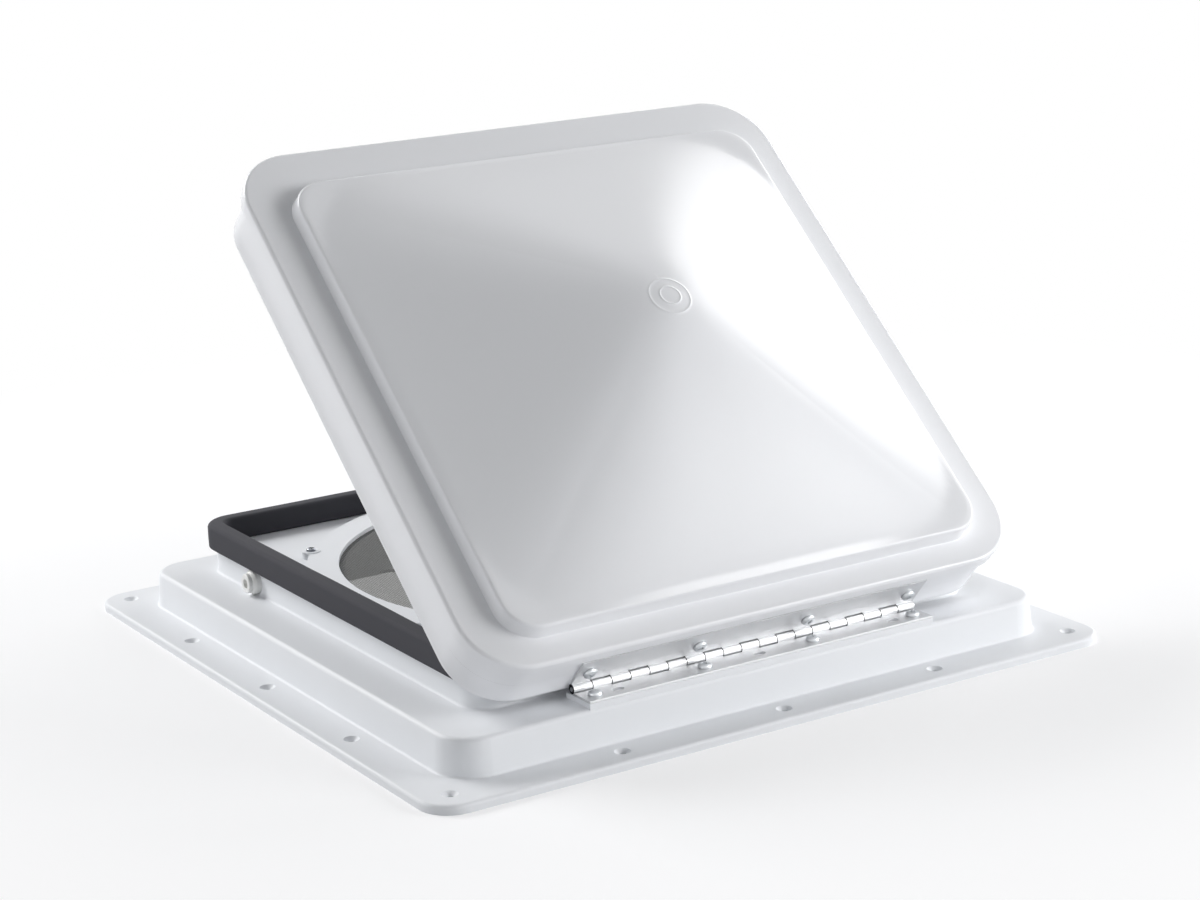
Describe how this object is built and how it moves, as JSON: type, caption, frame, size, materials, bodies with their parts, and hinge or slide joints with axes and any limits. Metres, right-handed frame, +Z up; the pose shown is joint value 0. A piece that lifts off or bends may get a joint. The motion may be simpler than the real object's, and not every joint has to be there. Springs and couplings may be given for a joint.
{
  "type": "caravan roof vent",
  "caption": "Square roof vent with a hinged stepped lid, edge seal, screened fan opening and a crank-driven lift arm, screwed down through a flat flange.",
  "frame": {"origin": "centre of the flange underside, which lies on the roof", "axes": "+Z up from the roof, +X along the hinge, +Y from the hinge towards the free edge of the lid"},
  "size_m": [0.47, 0.47, 0.3096],
  "materials": {
    "white_plastic": "glossy moulded white plastic",
    "seal_foam": "black closed-cell edge seal with a smooth skin",
    "screen_mesh": "grey woven insect mesh",
    "hinge_aluminium": "bright rolled aluminium",
    "zinc_steel": "bright zinc plate",
    "plain_steel": "plated steel",
    "nylon": "natural white nylon",
    "dark_plastic": "dark grey moulded plastic"
  },
  "bodies": {
    "base": {"base_frame": "white_plastic", "rim_seal": "seal_foam", "shroud_panel": "white_plastic", "panel_screws": "zinc_steel", "insect_screen": "screen_mesh", "screen_ring": "white_plastic", "ring_screws": "zinc_steel", "guide_bushes": "nylon", "bush_screws": "zinc_steel", "hinge_base_leaf": "hinge_aluminium", "hinge_pin": "plain_steel", "base_leaf_screws": "zinc_steel", "motor_bracket": "plain_steel", "bracket_screws": "zinc_steel", "fan_motor": "plain_steel", "motor_screws": "zinc_steel", "gear_housing": "dark_plastic", "housing_screws": "zinc_steel", "arm_pivot_pin": "plain_steel", "pivot_clip": "zinc_steel"},
    "lid": {"lid_shell": "white_plastic", "hinge_lid_leaf": "hinge_aluminium", "lid_leaf_screws": "zinc_steel", "lift_track": "plain_steel", "track_screws": "zinc_steel"},
    "lift_arm": {"lift_arm": "plain_steel", "sector_gear": "nylon", "slide_pin": "plain_steel", "slide_bush": "nylon"},
    "crank": {"worm_spindle": "plain_steel", "crank_arm": "white_plastic", "crank_screw": "zinc_steel", "knob_pin": "plain_steel"},
    "crank_knob": {"crank_knob": "white_plastic"},
    "fan": {"fan_rotor": "dark_plastic", "motor_shaft": "plain_steel", "hub_nut": "zinc_steel"}
  },
  "joints": [
    {"name": "lid_hinge", "type": "hinge", "parent": "base", "child": "lid", "pos_m": [0, -0.1862, 0.0341], "axis": [1, 0, 0], "range_deg": [-41.1, 0]},
    {"name": "arm_pivot", "type": "hinge", "parent": "base", "child": "lift_arm", "pos_m": [0.12704, -0.126, 0.054], "axis": [1, 0, 0], "range_deg": [-56.97, 0]},
    {"name": "crank_spin", "type": "hinge", "parent": "base", "child": "crank", "pos_m": [0.13704, -0.098, 0.02], "axis": [0, 0, 1], "range_deg": [0, 1709.1]},
    {"name": "knob_spin", "type": "hinge", "parent": "crank", "child": "crank_knob", "pos_m": [0.11407, -0.098, 0.0107], "axis": [0, 0, 1], "continuous": true},
    {"name": "fan_spin", "type": "hinge", "parent": "base", "child": "fan", "pos_m": [0, 0.0034, 0.035], "axis": [0, 0, 1], "continuous": true}
  ],
  "couplings": [
    {"joint": "arm_pivot", "follows": "lid_hinge", "ratio": 1.3812},
    {"joint": "crank_spin", "follows": "lid_hinge", "ratio": -41.437}
  ]
}
